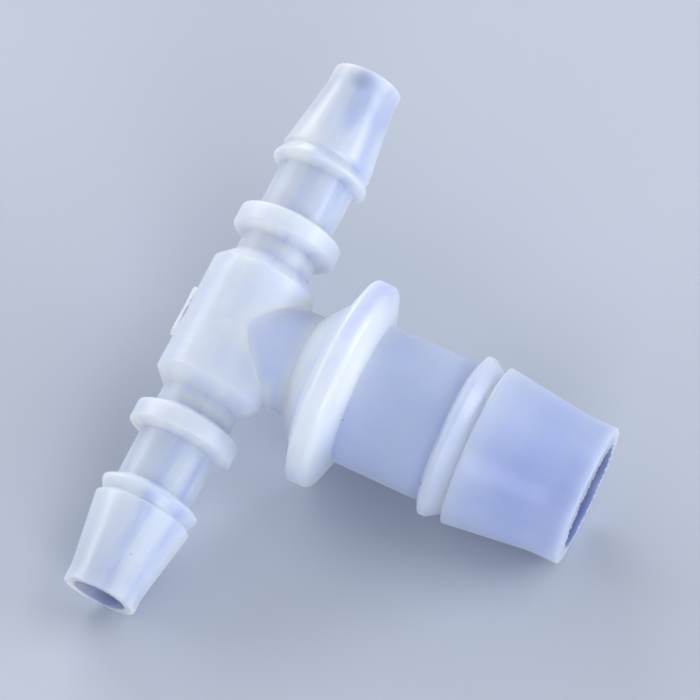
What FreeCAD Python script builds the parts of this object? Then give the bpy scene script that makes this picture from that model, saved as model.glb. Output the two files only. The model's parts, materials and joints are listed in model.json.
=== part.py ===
import FreeCAD, Part
import math
import os

# Hose tee connector, moulded as one piece in milky polypropylene.
# A straight run carries a small hose barb at each end. A larger hose barb
# branches off its middle, behind a wide flange that stops the hose.
# The frame's origin is where the axis of the run crosses the axis of the
# branch. +Z is up, and the tee lies the way it comes to rest on a table:
# the branch on the rim of its flange and on the edge of its mouth, and the
# run tipped over until the end of its lower arm touches the table too.
# All sizes are in millimetres. Diameters end in _dia and corner radii in
# _round. Every other size is a length along the axis of its own arm.
# Corners with a radius under half a millimetre are left sharp.

# Body, the thick middle of the run
body_dia = 8.85
body_half = 5.0
body_shoulder = 1.3

# Small arms, the same on both sides up to their barbs
arm_neck_dia = 6.4
arm_bore_dia = 4.4
collar_gap = 1.55
collar_dia = 8.8
collar_back = 0.55
collar_rim = 1.5
collar_front = 0.45
arm_seat = 4.15
arm_ridge_dia = 8.15
arm_ridge_back = 0.5
arm_ridge_rim = 0.25
arm_ridge_front = 0.85
arm_notch_dia = 7.25
arm_barb_lip = 0.3
arm_cone = 6.1
arm_tip = 1.3

# Barbs of the small arms: the lower arm's is a little fuller
lower_barb_dia = 8.1
lower_tip_dia = 6.1
upper_barb_dia = 7.65
upper_tip_dia = 5.85

# Branch: stub, hub and flange
stub_shoulder = 0.225
stub_bore_dia = 4.0
hub_start = 6.1
hub_cone = 1.7
hub_dia = 12.7
hub_round = 0.6
flange_dia = 17.4
flange_back = 0.85
flange_rim = 1.65
flange_front = 1.0
flange_front_round = 0.6

# Branch: large hose barb
branch_neck_dia = 11.8
branch_bore_dia = 8.8
branch_bore_taper = 2.0
branch_floor = 8.6
branch_seat = 7.5
branch_ridge_dia = 13.6
branch_ridge_back = 0.4
branch_ridge_rim = 0.5
branch_ridge_front = 1.35
branch_notch_dia = 11.9
branch_barb_lip = 0.1
branch_barb_dia = 13.4
branch_cone = 7.25
branch_tip_dia = 11.6
branch_tip = 2.4

# Plain raised oval on the body, on the side away from the branch
oval_length = 4.4
oval_width = 3.0
oval_height = 0.3

# The stub is narrower than the body by its shoulder on each side
stub_dia = body_dia - 2 * stub_shoulder

# Where each stretch of a small arm starts, from the middle of the run
arm_neck_start = body_half + body_shoulder
collar_start = arm_neck_start + collar_gap
collar_rim_start = collar_start + collar_back
collar_rim_end = collar_rim_start + collar_rim
arm_seat_start = collar_rim_end + collar_front
arm_ridge_start = arm_seat_start + arm_seat
arm_crest_start = arm_ridge_start + arm_ridge_back
arm_crest_end = arm_crest_start + arm_ridge_rim
arm_notch = arm_crest_end + arm_ridge_front
arm_barb = arm_notch + arm_barb_lip
arm_tip_start = arm_barb + arm_cone
arm_end = arm_tip_start + arm_tip

# Where each stretch of the branch starts, from the axis of the run
hub_end = hub_start + hub_cone
flange_rim_start = hub_end + flange_back
flange_rim_end = flange_rim_start + flange_rim
branch_seat_start = flange_rim_end + flange_front
branch_ridge_start = branch_seat_start + branch_seat
branch_crest_start = branch_ridge_start + branch_ridge_back
branch_crest_end = branch_crest_start + branch_ridge_rim
branch_notch = branch_crest_end + branch_ridge_front
branch_barb = branch_notch + branch_barb_lip
branch_tip_start = branch_barb + branch_cone
mouth = branch_tip_start + branch_tip

origin = FreeCAD.Vector(0, 0, 0)
along_run = FreeCAD.Vector(1, 0, 0)
along_branch = FreeCAD.Vector(0, 1, 0)


def arm_outline(barb_dia, tip_dia):
    """Corners of a small arm: place along the run, diameter there, and rounding."""
    return [
        (body_half, body_dia, 0),
        (arm_neck_start, arm_neck_dia, 0),
        (collar_start, arm_neck_dia, 0),
        (collar_rim_start, collar_dia, 0),
        (collar_rim_end, collar_dia, 0),
        (arm_seat_start, arm_neck_dia, 0),
        (arm_ridge_start, arm_neck_dia, 0),
        (arm_crest_start, arm_ridge_dia, 0),
        (arm_crest_end, arm_ridge_dia, 0),
        (arm_notch, arm_notch_dia, 0),
        (arm_barb, barb_dia, 0),
        (arm_tip_start, tip_dia, 0),
        (arm_end, tip_dia, 0),
    ]


def branch_outline():
    """Corners of the branch: place along its axis, diameter there, and rounding."""
    return [
        (0, stub_dia, 0),
        (hub_start, stub_dia, 0),
        (hub_end, hub_dia, hub_round),
        (flange_rim_start, flange_dia, 0),
        (flange_rim_end, flange_dia, flange_front_round),
        (branch_seat_start, branch_neck_dia, 0),
        (branch_ridge_start, branch_neck_dia, 0),
        (branch_crest_start, branch_ridge_dia, 0),
        (branch_crest_end, branch_ridge_dia, 0),
        (branch_notch, branch_notch_dia, 0),
        (branch_barb, branch_barb_dia, 0),
        (branch_tip_start, branch_tip_dia, 0),
        (mouth, branch_tip_dia, 0),
    ]


def outline_edges(corners, roundings):
    """Edges of a closed outline, with an arc at each corner that has a rounding."""
    edges = []
    starts = []
    ends = []
    for i, corner in enumerate(corners):
        back = (corners[i - 1] - corner).normalize()
        ahead = (corners[(i + 1) % len(corners)] - corner).normalize()
        half_angle = back.getAngle(ahead) / 2
        reach = roundings[i] / math.tan(half_angle)
        starts.append(corner + back * reach)
        ends.append(corner + ahead * reach)
        if roundings[i] > 0:
            inset = roundings[i] / math.sin(half_angle) - roundings[i]
            middle = corner + (back + ahead).normalize() * inset
            edges.append(Part.Arc(starts[i], middle, ends[i]).toShape())
    for leaving, arriving in zip(ends, starts[1:] + starts[:1]):
        edges.append(Part.LineSegment(leaving, arriving).toShape())
    return edges


def turned(outline, axis, across):
    """Solid of revolution about one axis, with its outline closed along that axis."""
    closed = outline + [(outline[-1][0], 0, 0), (outline[0][0], 0, 0)]
    corners = [axis * place + across * (dia / 2) for place, dia, rounding in closed]
    roundings = [rounding for place, dia, rounding in closed]
    edges = Part.__sortEdges__(outline_edges(corners, roundings))
    return Part.Face(Part.Wire(edges)).revolve(origin, axis, 360)


def make_run():
    """Both small arms and the body, without their bore."""
    lower = arm_outline(lower_barb_dia, lower_tip_dia)
    upper = arm_outline(upper_barb_dia, upper_tip_dia)
    mirrored = [(-place, dia, rounding) for place, dia, rounding in reversed(upper)]
    return turned(mirrored + lower, along_run, along_branch)


def make_oval():
    """Raised oval: an elliptical post cut off just above the body's skin."""
    ellipse = Part.Ellipse(origin, oval_length / 2, oval_width / 2)
    post = Part.Face(Part.Wire(ellipse.toShape()))
    post.rotate(origin, along_run, 90)
    post = post.extrude(along_branch * -body_dia)
    limit = Part.makeCylinder(
        body_dia / 2 + oval_height, oval_length, along_run * (-oval_length / 2), along_run)
    return post.common(limit)


def make_bores():
    """Passage through the run, and the stepped passage of the branch."""
    run_bore = Part.makeCylinder(
        arm_bore_dia / 2, 2 * arm_end, along_run * -arm_end, along_run)
    taper_start = branch_floor - branch_bore_taper
    stub_bore = Part.makeCylinder(stub_bore_dia / 2, taper_start, origin, along_branch)
    taper = Part.makeCone(
        stub_bore_dia / 2, branch_bore_dia / 2, branch_bore_taper,
        along_branch * taper_start, along_branch)
    branch_bore = Part.makeCylinder(
        branch_bore_dia / 2, mouth - branch_floor, along_branch * branch_floor,
        along_branch)
    return run_bore.fuse([stub_bore, taper, branch_bore])


def rest_angles():
    """Slope of the branch, roll about it, and how far below the origin the table is.

    The flange rests on the rounding of its front edge, whose middle is one radius
    above the table. The mouth and the end of the lower arm rest on a sharp corner.
    """
    # The flange's front face slopes, so its rounding starts a little before the corner.
    front_slope = math.atan2((flange_dia - branch_neck_dia) / 2, flange_front)
    rounding_place = flange_rim_end - flange_front_round * math.tan(front_slope / 2)
    rounding_height = flange_dia / 2 - flange_front_round
    # The rounding and the mouth touch the table where the branch slopes down outward.
    run = mouth - rounding_place
    drop = rounding_height - branch_tip_dia / 2
    slope = math.atan2(drop, run) + math.asin(flange_front_round / math.hypot(run, drop))
    table = mouth * math.sin(slope) + branch_tip_dia / 2 * math.cos(slope)
    # The run dips until the lower edge of the lower arm's end is as low as the table.
    corner_lean = math.atan2(lower_tip_dia / 2, arm_end)
    dip = math.asin(table / math.hypot(arm_end, lower_tip_dia / 2)) - corner_lean
    roll = math.asin(math.sin(dip) / math.cos(slope))
    return slope, roll, table


branch = turned(branch_outline(), along_branch, along_run)
outside = make_run().fuse([branch, make_oval()]).removeSplitter()
tee_body = outside.cut(make_bores()).Solids[0]

slope, roll, table = rest_angles()
tee_body.rotate(origin, along_branch, math.degrees(roll))
tee_body.rotate(origin, along_run, -math.degrees(slope))

os.makedirs("parts", exist_ok=True)
tee_body.exportStep("parts/tee_body.step")
print("valid", tee_body.isValid(), "volume mm3", round(tee_body.Volume, 2))
print("slope", round(math.degrees(slope), 4), "roll", round(math.degrees(roll), 4),
      "table at z", round(-table, 4))
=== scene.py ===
# %% [markdown]
# # A hose tee in milky plastic
#
# This lesson dresses one moulded piece: a tee that joins two thin hoses and a thick
# one. A solid model gives its size, its place and the way it lies. Blender adds what
# the solid leaves out: the small roundings, the flash that the mould left, and the
# look of milky plastic that lets some light in.

import json
import math

import bmesh
import bpy
import numpy as np
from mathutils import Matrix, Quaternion, Vector, noise


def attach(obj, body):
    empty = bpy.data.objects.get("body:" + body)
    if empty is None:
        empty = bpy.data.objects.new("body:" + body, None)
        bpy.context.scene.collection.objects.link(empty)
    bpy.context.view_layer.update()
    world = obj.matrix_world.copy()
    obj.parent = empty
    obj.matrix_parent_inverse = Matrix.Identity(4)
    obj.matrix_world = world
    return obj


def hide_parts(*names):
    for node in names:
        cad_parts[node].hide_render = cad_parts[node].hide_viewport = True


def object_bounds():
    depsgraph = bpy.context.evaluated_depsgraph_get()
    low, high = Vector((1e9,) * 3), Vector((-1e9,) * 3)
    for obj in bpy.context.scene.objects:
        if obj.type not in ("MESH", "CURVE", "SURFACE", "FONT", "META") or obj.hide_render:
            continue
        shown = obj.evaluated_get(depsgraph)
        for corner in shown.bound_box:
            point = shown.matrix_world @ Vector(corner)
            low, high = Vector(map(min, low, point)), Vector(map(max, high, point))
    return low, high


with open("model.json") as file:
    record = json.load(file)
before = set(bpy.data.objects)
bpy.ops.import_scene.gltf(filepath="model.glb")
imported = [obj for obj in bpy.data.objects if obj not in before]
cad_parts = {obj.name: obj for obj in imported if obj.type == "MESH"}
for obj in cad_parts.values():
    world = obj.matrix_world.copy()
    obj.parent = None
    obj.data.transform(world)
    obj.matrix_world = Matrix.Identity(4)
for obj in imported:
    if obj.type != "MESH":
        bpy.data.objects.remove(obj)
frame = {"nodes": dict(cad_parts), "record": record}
cad_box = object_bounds()
mm = 0.001
print("solid's box in mm:", [[round(c / mm, 2) for c in corner] for corner in cad_box])

# %% [markdown]
# ## Which way the arms point
#
# The tee lies tipped over on a table, so no arm is in line with an axis of the
# scene. It is far easier to build it straight, with the run along x and the branch
# along y, and to lay each point over at the end. The two bores of the solid say
# where those axes point.

# %% Directions
mounts = {mount["name"]: mount for mount in frame["record"]["mounts"]}
along_run = Vector(mounts["run_bore"]["axis"]).normalized()
along_branch = Vector(mounts["branch_bore"]["axis"]).normalized()
sideways = along_run.cross(along_branch)
lay = np.array([along_run, along_branch, sideways])
print("the lower arm slopes down", round(math.degrees(math.asin(-along_run.z)), 1), "degrees")

# %% [markdown]
# ## Reading the outlines
#
# Every arm is a turned shape, so its solid is made of rings. A ring is a set of
# points at one place along the axis and one distance from it. Collecting them from
# the faces that look away from the axis gives the outline of the skin. The faces
# that look towards it give the bore. So the lesson holds no copy of the sizes, and
# follows the solid when they change.

# %% Faces of the solid, straightened
solid = frame["nodes"]["tee_body"].data
solid.calc_loop_triangles()
points = np.empty((len(solid.vertices), 3), np.float32)
solid.vertices.foreach_get("co", points.ravel())
corners = np.empty(3 * len(solid.loop_triangles), np.int32)
solid.loop_triangles.foreach_get("vertices", corners)
straight_points = points @ lay.T
faces = straight_points[corners].reshape(-1, 3, 3)
middles = faces.mean(axis=1)
facings = np.cross(faces[:, 1] - faces[:, 0], faces[:, 2] - faces[:, 0])
print("faces of the solid:", len(faces))

# %% Rings of the solid
RUN, BRANCH, ACROSS = 0, 1, 2
OUTWARD, INWARD = 1, -1
same = 0.02 * mm
kept_digits = 3
least_round_ring = 12
least_look = 0.02
straight_within = math.radians(1)
near_middle = 0.3


def turn_at(before, corner, after):
    """Angle by which an outline turns at a corner: above zero in a hollow one."""
    back = corner - before
    ahead = after - corner
    return math.atan2(back[0] * ahead[1] - back[1] * ahead[0], back @ ahead)


def outline(axis, side, region):
    """Corners of the skin or the bore about one axis, as place along it and radius."""
    radial = middles.copy()
    radial[:, axis] = 0
    looks = (radial * facings).sum(axis=1) * side
    level = np.linalg.norm(radial, axis=1) * np.linalg.norm(facings, axis=1)
    rim = np.unique(faces[(looks > level * least_look) & region].reshape(-1, 3), axis=0)
    radius = np.linalg.norm(np.delete(rim, axis, axis=1), axis=1)
    rows = np.round(np.column_stack([rim[:, axis], radius]) / mm, kept_digits) * mm
    rings, counts = np.unique(rows, axis=0, return_counts=True)
    kept = []
    for ring in rings[counts >= least_round_ring]:
        if kept and np.linalg.norm(ring - kept[-1]) < same:
            continue
        if len(kept) > 1 and abs(turn_at(kept[-2], kept[-1], ring)) < straight_within:
            kept.pop()
        kept.append(ring)
    return kept


far_side = middles[:, BRANCH] < 0
run_skin = outline(RUN, OUTWARD, far_side)
run_bore = outline(RUN, INWARD, far_side)[0][1]
run_end = run_skin[-1][0]
body_radius = max(radius for place, radius in run_skin if abs(place) < near_middle * run_end)
beyond_body = middles[:, BRANCH] > body_radius
branch_skin = outline(BRANCH, OUTWARD, beyond_body)
branch_bore = outline(BRANCH, INWARD, beyond_body)
for name, found in (("run", run_skin), ("branch", branch_skin), ("bore", branch_bore)):
    print(name, [(round(place / mm, 3), round(radius / mm, 3)) for place, radius in found])
print("run bore", round(run_bore / mm, 3), "body", round(body_radius / mm, 3))

# %% [markdown]
# ## Rounding the corners
#
# No edge of a moulded piece is truly sharp: the mould was cut with a round tool, and
# melt doesn't fill a sharp corner. Here an edge's rounding grows with the ring it
# runs round, and the wide flange, which the hand holds, is the roundest. Hollow
# corners, the edge of a barb, which has to bite into the hose, the narrow crests and
# the edges of an open end, where the mould's core sat, stay tighter. A bevel modifier
# could do this, but it can't tell one kind of corner from another, so the outline
# gets small arcs before it is turned.

# %% Rounding of each kind of corner
edge_share = 0.04
flange_round = 0.45 * mm
flange_from = 8 * mm
crest_round = 0.09 * mm
crest_at_most = 0.6 * mm
hollow_round = 0.12 * mm
barb_round = 0.12 * mm
barb_lip_at_most = 0.8 * mm
end_round = 0.1 * mm
gentle_turn = math.radians(25)
gentle_reach = 0.3 * mm
most_of_side = 0.45


def corner_round(before, corner, after, after_hollow, at_end):
    """Radius of the rounding at one corner of an outline."""
    turn = turn_at(before, corner, after)
    shorter = min(np.linalg.norm(corner - before), np.linalg.norm(after - corner))
    slope = math.tan(abs(turn) / 2)
    if abs(turn) < gentle_turn:
        wish = gentle_reach / slope
    elif at_end:
        wish = end_round
    elif turn > 0:
        wish = hollow_round
    elif after_hollow and np.linalg.norm(corner - before) < barb_lip_at_most:
        wish = barb_round
    elif shorter < crest_at_most:
        wish = crest_round
    elif corner[1] > flange_from:
        wish = flange_round
    else:
        wish = edge_share * corner[1]
    return min(wish, most_of_side * shorter / slope)


print("roundings from", round(crest_round / mm, 2), "to", round(flange_round / mm, 2), "mm")

# %% Rounded outline
arc_step = math.radians(13)
least_arc_pieces = 2
no_angle = 1e-6


def swung(start, end, share):
    """Direction between two unit vectors, turned by a share of the angle between them."""
    angle = math.acos(float(np.clip(start @ end, -1, 1)))
    if angle < no_angle:
        return start
    return (math.sin((1 - share) * angle) * start + math.sin(share * angle) * end) / math.sin(angle)


def unit(vector):
    """The same direction with a length of one."""
    return vector / np.linalg.norm(vector)


def straight(start, end, stretch):
    """Points after the start of a straight line, up to its end."""
    count = max(1, math.ceil(np.linalg.norm(end - start) / stretch))
    return [start + (end - start) * (i + 1) / count for i in range(count)]


def rounded(path, stretch):
    """Outline with an arc at each inner corner, and no stretch longer than one size."""
    path = [np.array(point) for point in path]
    dense = [path[0]]
    end = max(place for place, radius in path)
    hollow = False
    for before, corner, after in zip(path, path[1:], path[2:]):
        radius = corner_round(before, corner, after, hollow, end - corner[0] < same)
        turn = turn_at(before, corner, after)
        hollow = turn > gentle_turn
        back = unit(before - corner)
        ahead = unit(after - corner)
        middle = corner + unit(back + ahead) * radius / math.cos(abs(turn) / 2)
        first = unit(corner + back * radius * math.tan(abs(turn) / 2) - middle)
        last = unit(corner + ahead * radius * math.tan(abs(turn) / 2) - middle)
        pieces = max(least_arc_pieces, math.ceil(abs(turn) / arc_step))
        arc = [middle + radius * swung(first, last, i / pieces) for i in range(pieces + 1)]
        dense += straight(dense[-1], arc[0], stretch) + arc[1:]
    return np.array(dense + straight(dense[-1], path[-1], stretch))


print("a square corner gets an arc of", math.ceil(math.pi / 2 / arc_step), "pieces")

# %% [markdown]
# ## Where the stub meets the body
#
# Two tubes that cross are the hard part of a tee. A boolean union would join them,
# but it leaves a knife edge and long thin faces that shade badly. The mould has a
# small fillet there. Such a fillet is the path of a ball that rolls round the joint
# and touches both tubes, and its centre is easy to work out. So the lesson builds
# the joint as rings of points: from a square patch of the body in to the line where
# the ball touches the body, up along the ball to the stub, level by level to a flat
# ring, and on along the branch. Every ring has the same number of points, so the
# rings join into one clean sheet.

# %% How fine the mesh is
around_branch = 192
around_run = around_branch // 2
quarter = around_branch // 4
branch_stretch = 0.42 * mm
run_stretch = 0.4 * mm
branch_turn = 2 * math.pi * np.arange(around_branch) / around_branch
run_turn = 2 * math.pi * np.arange(around_run) / around_run
print("points round the branch:", around_branch, "and round the run:", around_run)


# %% Rings round the two axes
def on_run(place, angle, radius):
    """Straight points on a tube about the run: angle 0 faces the branch."""
    place, angle, radius = np.broadcast_arrays(place, angle, radius)
    return np.stack([place, radius * np.cos(angle), radius * np.sin(angle)], axis=-1)


def on_branch(place, radius):
    """One ring of straight points about the branch."""
    place, radius = np.broadcast_arrays(place, radius)
    return np.stack([radius * np.cos(branch_turn), place + 0 * branch_turn,
                     radius * np.sin(branch_turn)], axis=-1)


def patch_edge(half_length):
    """The square edge of a patch that covers one half of the run's round."""
    steps = np.arange(around_branch)
    swing = (steps + quarter / 2) % around_branch
    side = (swing // quarter).astype(int)
    along = (swing % quarter) / quarter * 2 - 1
    across = np.select([side == 0, side == 1, side == 2], [1, -along, -1], along)
    round_it = np.select([side == 0, side == 1, side == 2], [along, 1, -along], -1)
    return across * half_length, round_it * math.pi / 2


def patch(half_length, radius, inner_place, inner_angle, rings, facing=0):
    """Rings on the run's skin, from a square edge in to a closed line."""
    edge_place, edge_angle = patch_edge(half_length)
    return [
        on_run(edge_place + (inner_place - edge_place) * share,
               facing + edge_angle + (inner_angle - edge_angle) * share, radius)
        for share in np.linspace(0, 1, rings)]


print("one ring round the body has a girth of",
      round(2 * math.pi * body_radius / mm, 1), "mm")

# %% Rings of the joint
fillet = 0.35 * mm
joint_gap = 0.12 * mm
patch_rings = 6
fillet_rings = 6
levelling_shares = (0.33, 0.67, 1)
stub_radius = branch_skin[0][1]
stub_bore = branch_bore[0][1]
body_half = max(place for place, radius in run_skin if abs(radius - body_radius) < same)

ball_reach = stub_radius + fillet
ball = on_branch(np.sqrt((body_radius + fillet) ** 2 - (ball_reach * np.sin(branch_turn)) ** 2),
                 ball_reach)
to_body = -ball / (body_radius + fillet)
to_body[:, RUN] = 0
to_stub = on_branch(0, -1)
foot = ball + fillet * to_body
skin_patch_half = (ball_reach + body_half) / 2
joint = patch(skin_patch_half, body_radius, foot[:, RUN],
              np.arctan2(foot[:, ACROSS], foot[:, BRANCH]), patch_rings)
for share in np.linspace(0, 1, fillet_rings)[1:]:
    swing = np.array([swung(a, b, share) for a, b in zip(to_body, to_stub)])
    joint.append(ball + fillet * swing)
stub_top = ball[:, BRANCH].max() + joint_gap
fillet_end = joint[-1] * [1, 0, 1]
for share in levelling_shares:
    level = ball[:, BRANCH] + (stub_top - ball[:, BRANCH]) * share
    joint.append(fillet_end + on_branch(level, 0))
print("the joint has", len(joint), "rings of", around_branch, "points")

# %% Rings of the whole branch
bore_patch_share = 1.3
mouth = branch_skin[-1][0]
outer_path = [(stub_top, stub_radius)] + branch_skin + [(mouth, branch_bore[-1][1])]
bore_cross = np.sqrt(run_bore ** 2 - (stub_bore * np.sin(branch_turn)) ** 2)
bore_top = bore_cross.max() + joint_gap
inner_path = branch_bore[::-1] + [(bore_top, stub_bore)]
turned_part = rounded(outer_path + inner_path[1:], branch_stretch)
bore_angle = np.arcsin(stub_bore * np.sin(branch_turn) / run_bore)
bore_patch_half = stub_bore * bore_patch_share
bore_patch = patch(bore_patch_half, run_bore, stub_bore * np.cos(branch_turn), bore_angle,
                   patch_rings)
branch_rings = joint + [on_branch(place, radius) for place, radius in turned_part[1:]]
branch_rings += [on_branch(bore_cross, stub_bore)] + bore_patch[-2::-1]
print("the branch has", len(branch_rings), "rings")

# %% [markdown]
# ## The raised oval on the back
#
# The body carries a small raised oval on the side away from the branch, with a low
# rim round a shallow dish. It could be a separate piece pushed into the body, but
# then its foot would show as a cut. It is one patch with the body's back instead:
# rings run in from the square edge to the oval, up its side, over the rim and down
# to its middle.

# %% Size of the oval
on_back = straight_points[:, BRANCH] < -body_radius - same
oval_points = straight_points[on_back]
oval_half_length = oval_points[:, RUN].max()
oval_half_width = oval_points[:, ACROSS].max()
oval_top = np.hypot(oval_points[:, BRANCH], oval_points[:, ACROSS]).max()
print("oval", round(oval_half_length / mm, 2), round(oval_half_width / mm, 2), "top at",
      round(oval_top / mm, 2))

# %% Rings of the oval
oval_round = 0.07 * mm
oval_rim = 0.32 * mm
oval_dish = 0.14 * mm
dish_slope = 0.3 * mm
dish_rings = 6
patch_margin = 1.12
foot_margin = 1.03
oval_arc = np.radians([0, 30, 60, 90])
quarters = (0.25, 0.5, 0.75)


def oval_ring(shrink, radius):
    """One ring of the oval, moved in from its side and at a distance from the run's axis."""
    share = (oval_half_width - shrink) / oval_half_width
    across = share * oval_half_width * np.sin(branch_turn)
    along = (oval_half_length - (1 - share) * oval_half_length) * np.cos(branch_turn)
    return on_run(along, math.pi + np.arcsin(across / radius), radius)


oval_along = oval_half_length * np.cos(branch_turn)
oval_angle = np.arcsin(oval_half_width * np.sin(branch_turn) / body_radius)
back_rings = patch(skin_patch_half, body_radius, oval_along * patch_margin,
                   oval_angle * patch_margin, patch_rings, facing=math.pi)
back_rings.append(on_run(oval_along * foot_margin, math.pi + oval_angle * foot_margin,
                         body_radius))
for height in quarters:
    back_rings.append(oval_ring(0, body_radius + (oval_top - body_radius - oval_round) * height))
for swing in oval_arc:
    back_rings.append(oval_ring(oval_round * (1 - math.cos(swing)),
                                oval_top - oval_round * (1 - math.sin(swing))))
for share in np.linspace(0, 1, dish_rings):
    dip = oval_dish * (3 * share ** 2 - 2 * share ** 3)
    back_rings.append(oval_ring(oval_rim + dish_slope * share, oval_top - dip))
for share in quarters[::-1] + (0,):
    in_from_side = oval_half_width - share * (oval_half_width - oval_rim - dish_slope)
    back_rings.append(oval_ring(in_from_side, oval_top - oval_dish))
print("the oval has", len(back_rings), "rings")

# %% [markdown]
# ## The two small arms
#
# Each small arm is turned like a chair leg, with a collar, a neck, a round ridge and
# a barb. A screw modifier could turn the outline, but the arms have to join the square
# edges of the patches point by point. So each arm is a stack of rings that starts at
# the edge of a patch, runs out to the tip and comes back in through the bore.

# %% Rings of the two arms, and the back of the bore
back_steps = np.linspace(-1, 1, quarter + 1)
back_angles = math.pi + back_steps * math.pi / 2


def arm_rings(sign):
    """Rings of one small arm, from the joint's patch out to the tip and in again."""
    arm = [(place * sign, radius) for place, radius in run_skin if place * sign > 0]
    arm.sort(key=lambda corner: corner[0])
    path = [(skin_patch_half, body_radius)] + arm
    path += [(arm[-1][0], run_bore), (bore_patch_half, run_bore)]
    return [on_run(place * sign, run_turn, radius)
            for place, radius in rounded(path, run_stretch)]


bore_back = [on_run(bore_patch_half * share, back_angles, run_bore) for share in back_steps]
sheets = [(branch_rings, True), (arm_rings(1), True), (arm_rings(-1), True),
          (back_rings, True), (bore_back, False)]
print("points:", sum(len(rows) * len(rows[0]) for rows, closed in sheets))

# %% [markdown]
# ## Burrs
#
# A trimmed or worn mould leaves a few burrs: slivers of plastic no thicker than a
# hair, on the crest of the large ridge and at two of the open ends. A hair system
# could draw them, but four of them are quicker as small cones, each with its foot
# sunk into the skin.

# %% Burrs on the ridge and the open ends
burr_sides = 6
burr_sunk = 0.06 * mm
burr_kink = 0.25
burr_waist = (0.5, 0.7)
off_axis = 0.1


def burr(axis, spot, angle, radius, lean, length, thick):
    """Points and faces of one thin cone that leans from straight out towards the arm's end."""
    out = np.zeros(3)
    out[1 - axis] = math.cos(math.radians(angle))
    out[ACROSS] = math.sin(math.radians(angle))
    end_way = np.zeros(3)
    end_way[axis] = 1
    foot_at = out * radius + end_way * spot
    way = unit(out * math.cos(lean) + end_way * math.sin(lean))
    across = unit(np.cross(way, end_way + off_axis * out))
    third = np.cross(way, across)
    made = []
    for share, size in ((0, 1), burr_waist):
        middle = foot_at + way * (share * length - (1 - share) * burr_sunk)
        for side in range(burr_sides):
            swing = 2 * math.pi * side / burr_sides
            made.append(middle + thick * size * (math.cos(swing) * across + math.sin(swing) * third))
    made.append(foot_at + way * length + across * burr_kink * length)
    made.append(foot_at - way * burr_sunk)
    tip, base = len(made) - 2, len(made) - 1
    sides = []
    for side in range(burr_sides):
        beside = (side + 1) % burr_sides
        sides.append((side, beside, burr_sides + beside, burr_sides + side))
        sides.append((burr_sides + side, burr_sides + beside, tip))
        sides.append((beside, side, base))
    return np.array(made), sides


# Each row: axis, place along it, angle round it in degrees, distance from it, lean in
# radians, length, thickness.
burr_rows = (
    (BRANCH, 19.85 * mm, 152, 6.74 * mm, 1.1, 0.34 * mm, 0.07 * mm),
    (BRANCH, 19.02 * mm, 29, 6.4 * mm, -0.5, 0.16 * mm, 0.11 * mm),
    (BRANCH, 30.8 * mm, -150, 4.62 * mm, 1.2, 0.28 * mm, 0.07 * mm),
    (RUN, 23.76 * mm, 178, 2.75 * mm, 0.9, 0.16 * mm, 0.06 * mm))
burrs = [burr(*row) for row in burr_rows]
print("burrs:", len(burrs))

# %% [markdown]
# ## One mesh from all the sheets
#
# The real part came out of the mould in one piece, and light passes from arm to arm
# inside it. So the sheets have to close into one skin with no gap. Each sheet gets
# its four-sided faces first. Then the points that two sheets share are merged. A
# voxel remesh could close them too, but it would blur the small edges.

# %% Faces of the sheets
all_points = []
all_faces = []


def sheet_faces(rows, closed, first):
    """Four-sided faces between neighbouring rows, each given by its points' numbers."""
    count = len(rows[0])
    made = []
    for row in range(len(rows) - 1):
        start = first + row * count
        for column in range(count if closed else count - 1):
            beside = (column + 1) % count
            made.append((start + column, start + beside,
                         start + count + beside, start + count + column))
    return made


for rows, closed in sheets:
    all_faces += sheet_faces(rows, closed, sum(len(p) for p in all_points))
    all_points.append(np.concatenate(rows))
for burr_points, burr_faces in burrs:
    first = sum(len(p) for p in all_points)
    all_faces += [tuple(first + corner for corner in face) for face in burr_faces]
    all_points.append(burr_points)
print("faces before merging:", len(all_faces))

# %% Joining the sheets into one mesh
join_within = 0.001 * mm
skin_mesh = bpy.data.meshes.new("tee_skin")
skin_mesh.from_pydata((np.concatenate(all_points) @ lay).tolist(), [], all_faces)
shape = bmesh.new()
shape.from_mesh(skin_mesh)
bmesh.ops.remove_doubles(shape, verts=shape.verts, dist=join_within)
bmesh.ops.recalc_face_normals(shape, faces=shape.faces)
open_edges = sum(not edge.is_manifold for edge in shape.edges)
shape.to_mesh(skin_mesh)
print("volume in mm3:", round(shape.calc_volume() / mm ** 3, 1), "open edges:", open_edges)
shape.free()
skin_mesh.shade_smooth()
skin = bpy.data.objects.new("tee_skin", skin_mesh)
bpy.context.scene.collection.objects.link(skin)
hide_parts("tee_body")
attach(skin, "root")
print("triangles:", sum(len(face.vertices) - 2 for face in skin_mesh.polygons))

# %% [markdown]
# ## What the mould left
#
# A clean lathe shape looks like a drawing. The real part shows a faint line where the
# two halves of the mould met, a little flash round the open end of the branch, and
# skin that sank unevenly as it cooled. Its upper tip is a hair longer, too. Sculpting
# could do this by hand. Here each point is moved by an amount worked out from where
# it sits, so the marks stay where they belong when a size of the solid changes.

# %% Places and facings of the points, straightened
count = len(skin_mesh.vertices)
place = np.empty((count, 3), np.float32)
facing = np.empty((count, 3), np.float32)
skin_mesh.vertices.foreach_get("co", place.ravel())
skin_mesh.vertices.foreach_get("normal", facing.ravel())
place = place @ lay.T
facing = facing @ lay.T
is_branch = place[:, BRANCH] > stub_top
own_place = np.where(is_branch, place[:, BRANCH], place[:, RUN])
other_side = np.where(is_branch, place[:, RUN], place[:, BRANCH])
own_radius = np.hypot(other_side, place[:, ACROSS])
own_angle = np.arctan2(place[:, ACROSS], other_side)
bore_place, bore_size = np.array(branch_bore).T
own_bore = np.where(is_branch, np.interp(own_place, bore_place, bore_size), run_bore)
print("points on the branch:", int(is_branch.sum()), "of", count)


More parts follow.
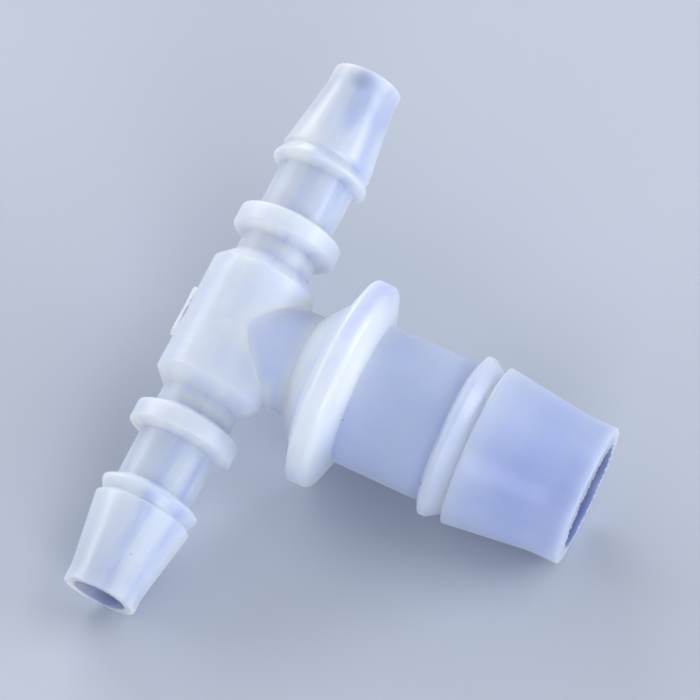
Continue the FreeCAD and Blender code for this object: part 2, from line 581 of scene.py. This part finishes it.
# %% Parting line and sunken skin
def speckle(where, size, seed=0):
    """Smooth random value between about -1 and 1 for each point, with bumps of one size."""
    return np.array([noise.noise(Vector(row) + Vector((seed, 0, 0)))
                     for row in (where / size).tolist()])


def bell(away):
    """1 where the distance is 0, falling softly to nothing at about 2."""
    return np.exp(-away ** 2)


parting_high = 0.02 * mm
parting_wide = 0.15 * mm
sink_deep = 0.014 * mm
sink_size = 3.5 * mm
tip_longer = 0.17

on_skin = own_radius > own_bore + parting_wide
moved = parting_high * bell(place[:, ACROSS] / parting_wide) * on_skin
moved += sink_deep * speckle(place, sink_size)
place += facing * moved[:, None]
upper_tip = np.clip(-place[:, RUN] - run_skin[-2][0], 0, None)
place[:, RUN] -= upper_tip * tip_longer
print("skin moved by up to", round(np.abs(moved).max() / mm, 3), "mm")

# %% Flash round the large mouth
flash_high = 0.16 * mm
flash_wide = 0.09 * mm
flash_size = 0.11 * mm
flash_seed = 7
flash_share = 0.55
flash_ragged = 1.1
flash_uneven = 0.25
flash_turn = 0.6
mouth_depth = 0.6 * end_round

at_mouth = is_branch & (own_place > mouth - mouth_depth)
lip_distance = (own_radius - own_bore - end_round) / flash_wide
ragged = flash_share + flash_ragged * speckle(place, flash_size, seed=flash_seed)
ragged += flash_uneven * np.sin(own_angle - flash_turn)
flash = at_mouth * flash_high * bell(lip_distance) * np.clip(ragged, 0, None)
place[:, BRANCH] += flash
skin_mesh.vertices.foreach_set("co", (place @ lay).astype(np.float32).ravel())
skin_mesh.update()
print("flash stands out by", round(flash.max() / mm, 2), "mm")

# %% [markdown]
# ## What the finish needs to know
#
# Milky plastic looks white where it is thick, and takes on a cooler, darker tone
# where a thin wall lets the hollow behind it show. A shader can't measure a wall.
# So each point gets a number, the wall over the bore's radius. Thick places are
# grown and shrunk again over the mesh, which closes the narrow notches between them,
# and the number is evened out as light evens out in the plastic. The stub and the
# large barb get lower numbers than their walls give, as painted shade, and the open
# ends get higher ones, as painted light. Values painted by hand would be lost when a
# size changes.

# %% Neighbours of each point
pairs = np.empty(2 * len(skin_mesh.edges), np.int32)
skin_mesh.edges.foreach_get("vertices", pairs)
pairs = pairs.reshape(-1, 2)
sources = np.concatenate([pairs[:, 0], pairs[:, 1]])
targets = np.concatenate([pairs[:, 1], pairs[:, 0]])
neighbours = np.bincount(targets, minlength=count)


def evened(values, rounds):
    """Values after each point has gone halfway to its neighbours' mean, a few times."""
    for evening_round in range(rounds):
        values = 0.5 * values + 0.5 * np.bincount(targets, values[sources], count) / neighbours
    return values


print("neighbours of a point:", int(neighbours.min()), "to", int(neighbours.max()))

# %% Wall of each point
wide_bore_shows = 0.35
thickest_wall = 1.2
close_reach = 8
thick_reach = 4
stub_shade_wall = 0.31
cone_painted_shade = 0.3
cone_middle = 26 * mm
cone_half = 3.5 * mm
wall_rounds = 30
lip_painted_glow = 0.35
lip_reach = 0.3 * mm
branch_lip_share = 0.2

own_wall = (own_radius - own_bore) / own_bore
wall_with_painted_light = np.clip(own_wall * (run_bore / own_bore) ** wide_bore_shows, 0, thickest_wall)
for reach_round in range(close_reach + thick_reach):
    np.maximum.at(wall_with_painted_light, targets, wall_with_painted_light[sources])
for reach_round in range(close_reach):
    np.minimum.at(wall_with_painted_light, targets, wall_with_painted_light[sources])
from_run = np.hypot(place[:, BRANCH], place[:, ACROSS])
from_branch = np.hypot(place[:, RUN], place[:, ACROSS])
on_stub = (np.abs(from_branch - stub_radius - fillet / 4) < fillet / 2) & (place[:, BRANCH] > 0)
on_stub &= place[:, BRANCH] < branch_skin[0][0]
# Painted shade: the stub's number is set low and the middle of the large barb is lowered, so both
# turn darker and bluer.
wall_with_painted_light[on_stub] = stub_shade_wall
wall_with_painted_light -= cone_painted_shade * bell((own_place - cone_middle) / cone_half) * is_branch
wall_with_painted_light = evened(wall_with_painted_light, wall_rounds)
own_end = np.where(is_branch, mouth, run_end)
# Painted light at the open ends: the number rises near each lip, so the colour turns whiter there.
at_lip = np.exp((np.abs(own_place) - own_end) / lip_reach)
wall_with_painted_light += lip_painted_glow * at_lip * np.where(is_branch, branch_lip_share, 1)
print("wall over bore radius from", round(wall_with_painted_light.min(), 2), "to", round(wall_with_painted_light.max(), 2))

# %% [markdown]
# ## Where light gathers: painted light
#
# Light that has entered the plastic comes out again where the skin turns inward. The
# neck behind the flange, the corner of the stub, the gap next to each collar and
# the crest of the large ridge look a little brighter than the skin beside them. The
# render's own scattering could show that with a very short depth, but then the
# whole part would look like chalk. So a mask of painted light brightens the colour
# there, and on the flange's front it is a painted highlight.

# %% Flange and its neck
painted_glow_wide = 0.4 * mm
shoulder_share = 0.99
neck_share = 0.7
front_share = 0.75
foot_painted_glow = 0.45
lit_middle = 80
lit_wide = 24
turned = np.degrees(own_angle)
lit_turn = bell((turned - lit_middle) / lit_wide)
flange_radius = max(radius for start, radius in branch_skin)
flange_end = max(start for start, radius in branch_skin
                 if radius > shoulder_share * flange_radius)
flange_foot = next(start for start, radius in branch_skin
                   if start > flange_end and radius < neck_share * flange_radius)
front_middle = (1 - front_share) * flange_end + front_share * flange_foot
# Painted highlight on the flange's front and painted light past its foot, only near one turn round
# the branch.
front_painted_glint = bell((place[:, BRANCH] - front_middle) / painted_glow_wide)
front_painted_glint *= own_radius > branch_skin[-1][1] - same
past_foot = np.clip((place[:, BRANCH] - flange_foot) / mm, 0, None)
front_painted_glint = np.maximum(front_painted_glint, foot_painted_glow * np.exp(-past_foot) * (past_foot > 0))
front_painted_glint *= lit_turn * is_branch * (own_radius > own_bore + mm)
print("flange ends at", round(flange_end / mm, 2), "and its neck starts at",
      round(flange_foot / mm, 2), "mm")

# %% Ridge, corner of the stub and gaps by the collars
ridge_middle = 19.6 * mm
ridge_share = 0.05
saddle_share = 0.5
gap_middle = 7.1 * mm
gap_wide = 1.6 * painted_glow_wide
half_strength = 0.5
# Painted light on the crest of the large ridge, a painted highlight along the stub's fillet, and
# painted light in the gaps by the collars.
ridge_painted_glow = ridge_share * bell((place[:, BRANCH] - ridge_middle) / mm) * is_branch
ridge_painted_glow *= own_radius > own_bore + mm
off_stub = (from_branch - stub_radius) / painted_glow_wide
off_body = (from_run - body_radius) / painted_glow_wide
saddle_painted_highlight = np.exp(-off_stub ** 2 - off_body ** 2) * (place[:, BRANCH] > 0)
gap_painted_light = bell((np.abs(own_place) - gap_middle) / gap_wide)
gap_painted_light *= ~is_branch & (own_radius > own_bore + mm / 2)
painted_glow = front_painted_glint + ridge_painted_glow + saddle_share * saddle_painted_highlight + gap_painted_light
print("points where light gathers:", int((painted_glow > half_strength).sum()))

# %% [markdown]
# ## Inside of the bores
#
# The inside gets little light, so it looks darker and bluer than the skin, and least
# so in the narrow bores. The lamps alone could do that, but the render's scattering
# lets more light in than the real plastic does. So a mask called hollow marks the
# inside for a darker colour, evened out so that it ends softly at the open ends.

# %% Mask of the bores
run_hollow = 0.75
edge_rounds = 3
in_bore = own_radius < own_bore + 2 * same
in_bore |= from_run < run_bore + same
hollow = evened(in_bore * np.where(is_branch, 1, run_hollow), edge_rounds)
print("points in the bores:", int(in_bore.sum()))

# %% [markdown]
# ## Bands and patches of painted light and shade
#
# Melt that meets a cold mould freezes in streaks along its way, and those come from a
# noise texture further on. The bands and patches here are painted light and painted
# shade: each is a soft mark that lightens or darkens the colour at one place and one
# angle, where a side of an arm, the hub, the flange, a ridge or a collar looks lit or
# shaded. A few rows of numbers, found by looking, are all it takes.

# %% Bands of painted light and shade along the arms
on_body = np.abs(own_place) < body_half
cone_start = run_skin[-3][0]
ridge_radius = run_skin[-5][1]
on_thin = (own_radius < ridge_radius - 4 * same) | (np.abs(own_place) > cone_start)
on_thin &= ~on_body
upper = place[:, RUN] < 0
# Painted light and painted shade: each band lightens or darkens the colour at one angle round an
# arm.
lit_and_shaded_bands = np.zeros(count)
# Each row: angle of its middle and half its width in degrees, strength, where it shows.
for middle, wide, strength, where in (
        (120, 20, 0.5, on_thin & upper), (116, 12, 0.2, on_thin & ~upper),
        (84, 14, -0.1, on_thin & upper), (80, 14, -0.25, on_thin & ~upper),
        (62, 6, 0.2, on_thin), (40, 13, -0.25, on_thin), (107, 10, 0.4, on_body & upper),
        (105, 8, 0.2, on_body & ~upper), (130, 14, -0.25, on_body), (88, 6, -0.15, on_body)):
    lit_and_shaded_bands += strength * bell((turned - middle) / wide) * where * ~is_branch * ~in_bore
print("bands go from", round(lit_and_shaded_bands.min(), 2), "to", round(lit_and_shaded_bands.max(), 2))

# %% Patches of painted light and shade on the arms
all_round = 1000
# Each row: place along the arm and half its length in mm, angle of its middle and half
# its width in degrees, strength. The upper arm has places below zero.
run_lit_and_shaded_patches = (
    (-12.6, 2.4, 118, 22, 0.35), (-21, 3.4, 72, 22, -0.45), (-12.6, 2.4, 5, 15, 0.3),
    (12.8, 1.4, 40, 20, -0.1), (10.2, 0.5, 75, all_round, 0.15),
    (5.8, 0.5, 75, all_round, 0.25), (4, 1.3, 15, 25, 0.5), (-4, 1.3, 15, 25, 0.5),
    (1.5, 3.5, 124, 12, 0.3), (-22.6, 2.6, 20, 26, -0.7), (-23.4, 0.8, 80, 30, -0.3),
    (23, 1.2, 5, 14, -0.3), (15.2, 0.5, 60, 45, -0.35), (9.1, 0.8, 145, 22, -0.25))
branch_lit_and_shaded_patches = (
    (6.5, 0.8, 75, all_round, 0.35), (6.6, 0.8, 30, 22, 0.25), (6.6, 0.8, 150, 20, 0.25),
    (11.3, 1, 140, 45, 0.35), (20.85, 0.3, 75, all_round, 0.25),
    (9.3, 0.7, 110, 42, -0.3), (10.3, 1, 148, 30, -0.5), (19.6, 0.7, 100, 70, -0.35),
    (26.5, 4.5, 62, 34, -0.25), (30, 1.2, 75, all_round, -0.2))
for where, rows in ((~is_branch, run_lit_and_shaded_patches), (is_branch, branch_lit_and_shaded_patches)):
    for middle, reach, turn, wide, strength in rows:
        off_middle = (own_place / mm - middle) / reach
        off_turn = ((turned - turn + 180) % 360 - 180) / wide
        lit_and_shaded_bands += strength * np.exp(-off_middle ** 2 - off_turn ** 2) * where * ~in_bore
lit_and_shaded_bands = evened(lit_and_shaded_bands, edge_rounds)
print("patches:", len(run_lit_and_shaded_patches) + len(branch_lit_and_shaded_patches))

# %% [markdown]
# ## Painted shade at the foot of the oval
#
# The crevice at the foot of the raised oval lies in shade, painted as a thin dark
# line. The line is worked out from the distance to the oval's foot, and broken up so
# that it doesn't look drawn.

# %% Mask of the painted shade in the crevice
crevice_shade_wide = 0.09 * mm
crevice_shade_size = 0.4 * mm
crevice_shade_half = 1.6
crevice_shade_share = 0.75
along_oval = np.clip(1 - (place[:, RUN] / oval_half_length) ** 2, 0, 1)
off_side = place[:, ACROSS] - oval_half_width * np.sqrt(along_oval)
off_foot = np.hypot(off_side, from_run - body_radius)
# Painted shade: a thin dark line where the crevice at the oval's foot lies in shade.
crevice_shade = bell(off_foot / crevice_shade_wide) * (place[:, BRANCH] < 0)
crevice_shade *= np.clip(crevice_shade_half - np.abs(place[:, RUN]) / mm, 0, 1)
crevice_shade *= np.clip(crevice_shade_share + speckle(place, crevice_shade_size), 0, 1)
print("points in the dirty crevice:", int((crevice_shade > half_strength).sum()))

# %% [markdown]
# ## Handing the values to the material
#
# A material reads values from the points through attributes. One of them isn't a
# mask but a place: it runs round and slowly along each arm, so that a noise read at
# it is drawn out into streaks that follow the way the melt went. Another says how
# strong those streaks are, because near the middle the streams mix and the streaks
# fade.

# %% Flow of the melt
streak_pull = 0.05
branch_streaks = 0.3
clear_half = 0.2
thick_streaks = 0.35
flow = np.stack([np.cos(own_angle), np.sin(own_angle), own_place / mm * streak_pull], axis=-1)
streaky = np.where(is_branch, branch_streaks * np.clip(own_place / body_half - 1, 0, 1),
                   np.clip(np.abs(own_place) / body_half - clear_half, 0, 1))
streaky *= np.where(on_thin | is_branch, 1, thick_streaks)
print("streaks are strongest at", round(streaky.max(), 2))


# %% Values kept on the mesh
def keep_value(name, kind, field, values):
    """Store one value for each point, where a material can read it."""
    layer = skin_mesh.attributes.new(name, kind, "POINT")
    layer.data.foreach_set(field, np.asarray(values, np.float32).ravel())


masks = {"wall_with_painted_light": wall_with_painted_light, "streaky": streaky, "painted_glow": painted_glow, "hollow": hollow, "lit_and_shaded_bands": lit_and_shaded_bands,
         "crevice_shade": crevice_shade}
for name, values in masks.items():
    keep_value(name, "FLOAT", "value", values)
keep_value("flow", "FLOAT_VECTOR", "vector", flow)
print("values on the mesh:", ", ".join(masks), "and flow")

# %% [markdown]
# ## A shorthand for materials
#
# A material in Blender is a graph of nodes. Written out node by node it hides what
# is worked out. The small class below wraps one output of a node, and gives it the
# operators of Python, so a mask can be written as 1 - mask. Plain numbers go through
# Math nodes. Colours and vectors go through Vector Math, since a Math node would
# turn a colour grey. All other nodes come from one method.


# %% A socket that can do sums
class Socket:
    """One output of a node in a material, with Python's operators."""

    def __init__(self, tree, output=None):
        self.tree = tree
        self.output = output

    def node(self, kind, settings=None, output=0, **values):
        """New node of any kind: its settings first, then values or links by socket name."""
        made = self.tree.nodes.new(kind)
        for name, value in (settings or {}).items():
            setattr(made, name, value)
        for name, value in values.items():
            feed(made.inputs[name.replace("_", " ")], value)
        return Socket(self.tree, made.outputs[output])

    def sum_with(self, operation, other, swapped=False):
        """Math on values, Vector Math on colours and vectors."""
        both = [other, self] if swapped else [self, other]
        wide = any(isinstance(one, Socket) and one.output.type != "VALUE" for one in both)
        made = self.node("ShaderNodeVectorMath" if wide else "ShaderNodeMath",
                         {"operation": operation})
        for number, one in enumerate(both):
            feed(made.output.node.inputs[number], (one,) * 3 if wide and is_number(one) else one)
        return made

    def __add__(self, other):
        return self.sum_with("ADD", other)

    def __sub__(self, other):
        return self.sum_with("SUBTRACT", other)

    def __rsub__(self, other):
        return self.sum_with("SUBTRACT", other, swapped=True)

    def __mul__(self, other):
        return self.sum_with("MULTIPLY", other)

    __radd__ = __add__
    __rmul__ = __mul__

    def smooth_from(self, low, high):
        """0 below low and 1 above high, with a soft change between."""
        return self.node("ShaderNodeMapRange", {"interpolation_type": "SMOOTHSTEP"},
                         Value=self, From_Min=low, From_Max=high)

    def noise(self, scale, detail):
        """Cloudy value between 0 and 1, read at this place."""
        return self.node("ShaderNodeTexNoise", Vector=self, Scale=scale, Detail=detail)

    def pick(self, at_none, at_full):
        """Colour between two others, by this value."""
        made = self.node("ShaderNodeMix", {"data_type": "RGBA"}, output="Result").output.node
        feed(made.inputs["Factor"], self)
        colours = [one for one in made.inputs if one.type == "RGBA"]
        feed(colours[0], at_none)
        feed(colours[1], at_full)
        return Socket(self.tree, next(one for one in made.outputs if one.type == "RGBA"))

    def length(self):
        """Length of this vector."""
        return self.node("ShaderNodeVectorMath", {"operation": "LENGTH"}, output="Value",
                         Vector=self)

    def three_times(self):
        """The same value three times, as a vector, to scale a colour with."""
        return self.node("ShaderNodeCombineXYZ", X=self, Y=self, Z=self)

    def kept(self, name, output="Fac"):
        """A value that was kept on the points of the mesh."""
        return self.node("ShaderNodeAttribute", {"attribute_name": name}, output=output)


def is_number(one):
    """True for a plain number, false for a socket or a colour."""
    return isinstance(one, (int, float))


def feed(socket, value):
    """Set an input to a value, or link an output to it."""
    if isinstance(value, Socket):
        value.tree.links.new(value.output, socket)
    else:
        socket.default_value = value


print("methods of a socket:", ", ".join(name for name in vars(Socket) if name[0] != "_"))


# %% A material and its shader
class Shader:
    """The Principled shader of a material, with plain names for its inputs."""

    def __init__(self, material):
        self.inputs = material.node_tree.nodes["Principled BSDF"].inputs

    def set(self, **values):
        """Values that are the same all over the surface."""
        for name, value in values.items():
            self.inputs[name.replace("_", " ")].default_value = value

    def link(self, name, value):
        """A value that changes over the surface."""
        feed(self.inputs[name], value)


def new_material(name):
    """An empty material, its shader and a socket to start sums from."""
    material = bpy.data.materials.new(name)
    material.use_nodes = True
    return material, Shader(material), Socket(material.node_tree)


milky, milky_shader, start = new_material("milky_plastic")
print("made the material", milky.name)

# %% [markdown]
# ## Colours as a screen shows them
#
# A colour picker gives red, green and blue from 0 to 255, on the curve that screens
# use. Blender's shaders work with light itself, so the curve has to be undone first.

# %% Colour from a screen
brightest = 255
dark_end = 0.04045
dark_slope = 12.92
curve_lift = 0.055
curve_power = 2.4


def painted(red, green, blue):
    """Colour as read off a screen, 0 to 255, turned into Blender's linear one."""
    share = np.array([red, green, blue]) / brightest
    curved = ((share + curve_lift) / (1 + curve_lift)) ** curve_power
    linear = np.where(share > dark_end, curved, share / dark_slope)
    return (*linear.tolist(), 1)


middle_grey = painted(128, 128, 128)
print("the middle grey of a screen gives back", round(middle_grey[0], 3), "of the light")

# %% [markdown]
# ## Milky plastic
#
# Natural polypropylene has no dye. It scatters light inside, so it glows softly and
# has no hard shade, and its skin has a satin gloss. Subsurface scattering does the
# glow, and a little transmission lets the hollow inside show through. A glass shader
# with a cloudy volume would be nearer to the real thing, but it is slow and noisy.
# The base colour carries small changes: cooler over thin walls, streaks and clouds
# from the flow of the melt, bands and patches of painted light and shade, painted
# light where light gathers, and painted shade inside the bores and on the stub.

# %% Colour by the wall
hollow_blue = painted(158, 177, 230)
thin_white = painted(180, 195, 236)
thick_white = painted(214, 225, 251)
hollow_wall = -0.1
thin_wall = 0.22
thick_wall = 0.46
cloud_scale = 260
cloud_share = 0.1
spot = start.node("ShaderNodeTexCoord", output="Object")
wall_with_painted_light_value = start.kept("wall_with_painted_light")
thin_side = wall_with_painted_light_value.smooth_from(hollow_wall, thin_wall).pick(hollow_blue, thin_white)
milk = wall_with_painted_light_value.smooth_from(thin_wall, thick_wall)
tone = 1 + cloud_share * (spot.noise(scale=cloud_scale, detail=3) - 0.5)
plastic_colour = milk.pick(thin_side, thick_white) * tone.three_times()
print("colour goes from", [round(c, 2) for c in hollow_blue[:3]], "to",
      [round(c, 2) for c in thick_white[:3]])

# %% Painted light and shade, streaks and the inside
lit_white = painted(236, 243, 255)
painted_light_white = painted(247, 250, 255)
bore_shade = painted(88, 110, 168)
shade_share = (0.64, 0.69, 0.86)
streak_scale = 3.2
streak_share = 0.7
full_band = 0.5
painted_glow_strength = 0.9
streaks = start.kept("flow", "Vector").noise(scale=streak_scale, detail=2) - 0.5
# The bands and patches kept on the mesh are painted light and shade; the noise streaks along the
# flow are the melt's own.
streaks_with_painted_light = start.kept("lit_and_shaded_bands") + streak_share * streaks * start.kept("streaky")
lighter = streaks_with_painted_light.smooth_from(0, full_band)
darker = streaks_with_painted_light.smooth_from(0, -full_band)
plastic_colour = lighter.pick(plastic_colour, lit_white)
plastic_colour = darker.pick(plastic_colour, plastic_colour * shade_share)
plastic_colour = start.kept("hollow").pick(plastic_colour, bore_shade)
# Painted light: where the mask of painted light and highlights is strong, the colour goes almost
# white.
plastic_colour = (painted_glow_strength * start.kept("painted_glow")).pick(plastic_colour, painted_light_white)
print("nodes so far:", len(milky.node_tree.nodes))

# %% [markdown]
# ## Specks in the plastic
#
# A few dark specks of burnt melt sit in the skin, each a tenth of a millimetre or so
# across, and near the upper tip a soft dark spot darkens the skin. They
# could be drawn in an image, but the part has no picture on it, and a speck is only
# a distance from a place: dark within it, with a soft edge. The painted shade in the
# crevice comes last, because it lies on top of everything.

# %% Specks, the dark spot and the painted shade in the crevice
speck_grey = painted(112, 120, 142)
shadow_blue = painted(140, 151, 184)
crevice_shade_grey = painted(84, 88, 92)
speck_core = 0.2
crevice_shade_strength = 0.9
# Each row: place before the tee is laid over and size, both in mm, and strength.
specks = [((3.93, 11.46, 4.4), 0.1, 0.9), ((3.28, 11.5, 4.9), 0.09, 0.35),
          ((-2.63, 5.8, 3.28), 0.09, 0.4), ((3.65, 18.38, 4.64), 0.11, 0.35),
          ((6.98, 10.83, 1.92), 0.1, 0.5), ((20.42, 1.31, 3.13), 0.11, 0.6),
          ((16.23, 0.09, 3.8), 0.1, 0.5), ((-1.36, 20.42, 6.2), 0.1, 0.35)]
# A soft dark spot near the upper tip, in the shadow blue.
tip_dark_spot = ((-22.95, 0.05, 2.93), 1.3, 0.62)
for spots, colour in (((tip_dark_spot,), shadow_blue), (specks, speck_grey)):
    for where, size, strength in spots:
        middle = tuple((np.array(where) * mm @ lay).tolist())
        apart = (spot - middle).length()
        share = strength * (1 - apart.smooth_from(speck_core * size * mm, size * mm))
        plastic_colour = share.pick(plastic_colour, colour)
# Painted shade in the crevice at the oval's foot goes on top of everything.
plastic_colour = (crevice_shade_strength * start.kept("crevice_shade")).pick(plastic_colour, crevice_shade_grey)
milky_shader.link("Base Color", plastic_colour)
print("specks:", len(specks))

# %% [markdown]
# ## Light inside, gloss and skin
#
# Three settings carry the look. The scattering depth says how far light travels in
# the plastic, and red travels furthest, which leaves the thin places bluish. The
# roughness makes the gloss satin, and varies a little where the part was handled.
# A very fine bump, like the peel of an orange, comes from the mould's own surface.

# %% Inside and gloss of the plastic
depth_of_glow = 5 * mm
glow_by_colour = (1.4, 1.12, 0.65)
see_through = 0.2
bending = 1.49
sheen = 0.35
sheen_rough = 0.35
satin = 0.36
wear_share = 0.1
wear_scale = 500
peel_scale = 1500
peel_strength = 0.08
peel_deep = 0.05 * mm
milky_shader.set(Subsurface_Weight=1, Subsurface_Scale=depth_of_glow,
                 Subsurface_Radius=glow_by_colour, Transmission_Weight=see_through,
                 IOR=bending, Sheen_Weight=sheen, Sheen_Roughness=sheen_rough)
gloss_wear = spot.noise(scale=wear_scale, detail=3) - 0.5
milky_shader.link("Roughness", satin + wear_share * gloss_wear)
peel = spot.noise(scale=peel_scale, detail=2)
milky_shader.link("Normal", start.node("ShaderNodeBump", Height=peel, Strength=peel_strength,
                                       Distance=peel_deep))
skin_mesh.materials.append(milky)
print("light travels about", round(depth_of_glow / mm, 1), "mm inside the plastic")

# %% [markdown]
# ## The floor
#
# The tee lies on a plain pale sheet that runs far past the view, so no edge of it
# shows. A curved backdrop would do as well, but the camera looks down so steeply
# that it never sees a wall.

# %% Floor
lowest = cad_box[0][2]
floor_half = 3.0
floor_grey = painted(174, 182, 197)
floor_rough = 0.8
floor_mesh = bpy.data.meshes.new("floor")
floor_mesh.from_pydata([(x * floor_half, y * floor_half, lowest)
                        for x, y in ((-1, -1), (1, -1), (1, 1), (-1, 1))], [], [(0, 1, 2, 3)])
floor = bpy.data.objects.new("floor", floor_mesh)
bpy.context.scene.collection.objects.link(floor)
paper, paper_shader = new_material("pale_floor")[:2]
paper_shader.set(Base_Color=floor_grey, Roughness=floor_rough)
floor_mesh.materials.append(paper)
print("floor at", round(lowest / mm, 2), "mm")

# %% [markdown]
# ## The camera
#
# A long lens from some way off keeps the arms nearly true to size, as in a picture
# of goods for sale. The camera looks down steeply at the middle of the tee. A track
# constraint could aim it, but three angles say the same and are easier to compare.

# %% Camera
aim = Vector((-2.968, 8.611, -0.794)) * mm
camera_distance = 309.525 * mm
camera_azimuth = math.radians(115.414)
camera_elevation = math.radians(51.953)
camera_roll = math.radians(-0.576)
camera_lens = 200.572
sensor_width = 36
nearest_seen = 10 * mm
forward = Vector((-math.sin(camera_azimuth) * math.cos(camera_elevation),
                  math.cos(camera_azimuth) * math.cos(camera_elevation),
                  -math.sin(camera_elevation)))
camera_data = bpy.data.cameras.new("camera")
camera_data.lens = camera_lens
camera_data.sensor_width = sensor_width
camera_data.clip_start = nearest_seen
camera = bpy.data.objects.new("camera", camera_data)
camera.rotation_mode = "QUATERNION"
camera.rotation_quaternion = (forward.to_track_quat("-Z", "Y")
                              @ Quaternion((0, 0, 1), camera_roll))
camera.location = aim - camera_distance * forward
bpy.context.scene.collection.objects.link(camera)
bpy.context.scene.camera = camera
print("camera at", [round(c / mm, 1) for c in camera.location], "mm")

# %% [markdown]
# ## Soft light from all round
#
# Milky plastic needs light from every side, or one side of it goes flat and grey. So
# four oblong lamps stand low round the tee, one looks down on it, and a pale world
# fills in the rest. One large lamp above would be simpler, but then the undersides
# of the collars would sink into shade.


# %% Lamps
def softbox(name, toward, power):
    """An oblong lamp that looks at the tee, placed along a direction from it."""
    data = bpy.data.lights.new(name, "AREA")
    data.shape = "RECTANGLE"
    data.size, data.size_y = lamp_size
    data.energy = power
    lamp = bpy.data.objects.new(name, data)
    lamp.location = aim + Vector(toward).normalized() * lamp_distance
    lamp.rotation_mode = "QUATERNION"
    lamp.rotation_quaternion = (-Vector(toward)).to_track_quat("-Z", "Y")
    bpy.context.scene.collection.objects.link(lamp)
    print(name, "at", [round(c, 3) for c in lamp.location])


lamp_distance = 0.5
lamp_size = (0.35, 0.15)
softbox("near", (0.76, 0.53, 0.38), 1.36)
softbox("right", (-0.35, 0.86, 0.38), 1.3)
softbox("back", (-0.66, -0.66, 0.38), 1.33)
softbox("left", (0.1, -0.92, 0.38), 0.98)
softbox("top", (-0.22, 0.48, 0.85), 0.41)

# %% World and view
world_colour = (0.95, 0.97, 1, 1)
world_strength = 0.43
world = bpy.data.worlds.new("studio")
world.use_nodes = True
world_light = world.node_tree.nodes["Background"].inputs
world_light["Color"].default_value = world_colour
world_light["Strength"].default_value = world_strength
bpy.context.scene.world = world
bpy.context.scene.view_settings.view_transform = "Standard"
print("lamps:", len(bpy.data.lights), "and the world at", world_strength)

# %% [markdown]
# ## Size
#
# A dressed part must not grow: hoses have to fit it as they fit the solid.
